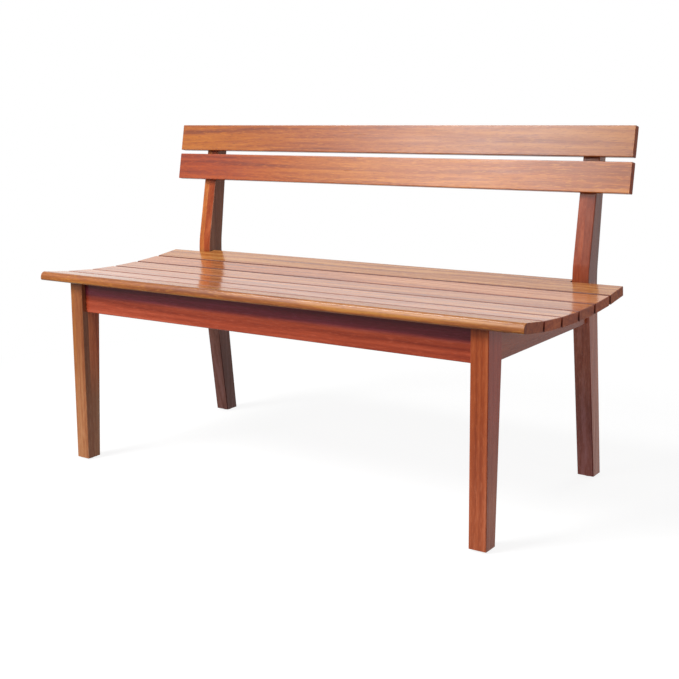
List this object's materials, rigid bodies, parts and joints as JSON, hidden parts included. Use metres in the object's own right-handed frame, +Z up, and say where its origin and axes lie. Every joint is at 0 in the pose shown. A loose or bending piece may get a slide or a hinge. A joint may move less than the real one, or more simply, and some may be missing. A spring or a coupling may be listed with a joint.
{
  "type": "slatted garden bench",
  "caption": "Two-seat slatted hardwood bench with a dished plank seat, a low leaning two-board back and splayed, bent rear legs.",
  "frame": {"origin": "on the floor, under the middle of the whole bench", "axes": "+X along the seat to the right as seen from in front, +Y from the front towards the back, +Z up"},
  "size_m": [1.25, 0.597, 0.789],
  "materials": {
    "frame_wood": "oiled hardwood, satin",
    "slat_wood": "oiled hardwood, semi-gloss",
    "plug_wood": "oiled hardwood, cut across the grain",
    "screw_steel": "plain stainless steel",
    "glide": "brown moulded plastic"
  },
  "bodies": {
    "root": {"front_leg_left": "frame_wood", "front_leg_right": "frame_wood", "rear_leg_left": "frame_wood", "rear_leg_right": "frame_wood", "front_rail": "frame_wood", "rear_rail": "frame_wood", "side_rail_left": "frame_wood", "side_rail_right": "frame_wood", "centre_bearer": "frame_wood", "seat_slat_1": "slat_wood", "seat_slat_2": "slat_wood", "seat_slat_3": "slat_wood", "seat_slat_4": "slat_wood", "seat_slat_5": "slat_wood", "seat_slat_6": "slat_wood", "back_slat_lower": "slat_wood", "back_slat_upper": "slat_wood", "glide_front_left": "glide", "glide_front_right": "glide", "glide_rear_left": "glide", "glide_rear_right": "glide", "seat_slat_screws": "screw_steel", "back_slat_screws": "screw_steel", "back_screw_plugs": "plug_wood"}
  },
  "joints": []
}
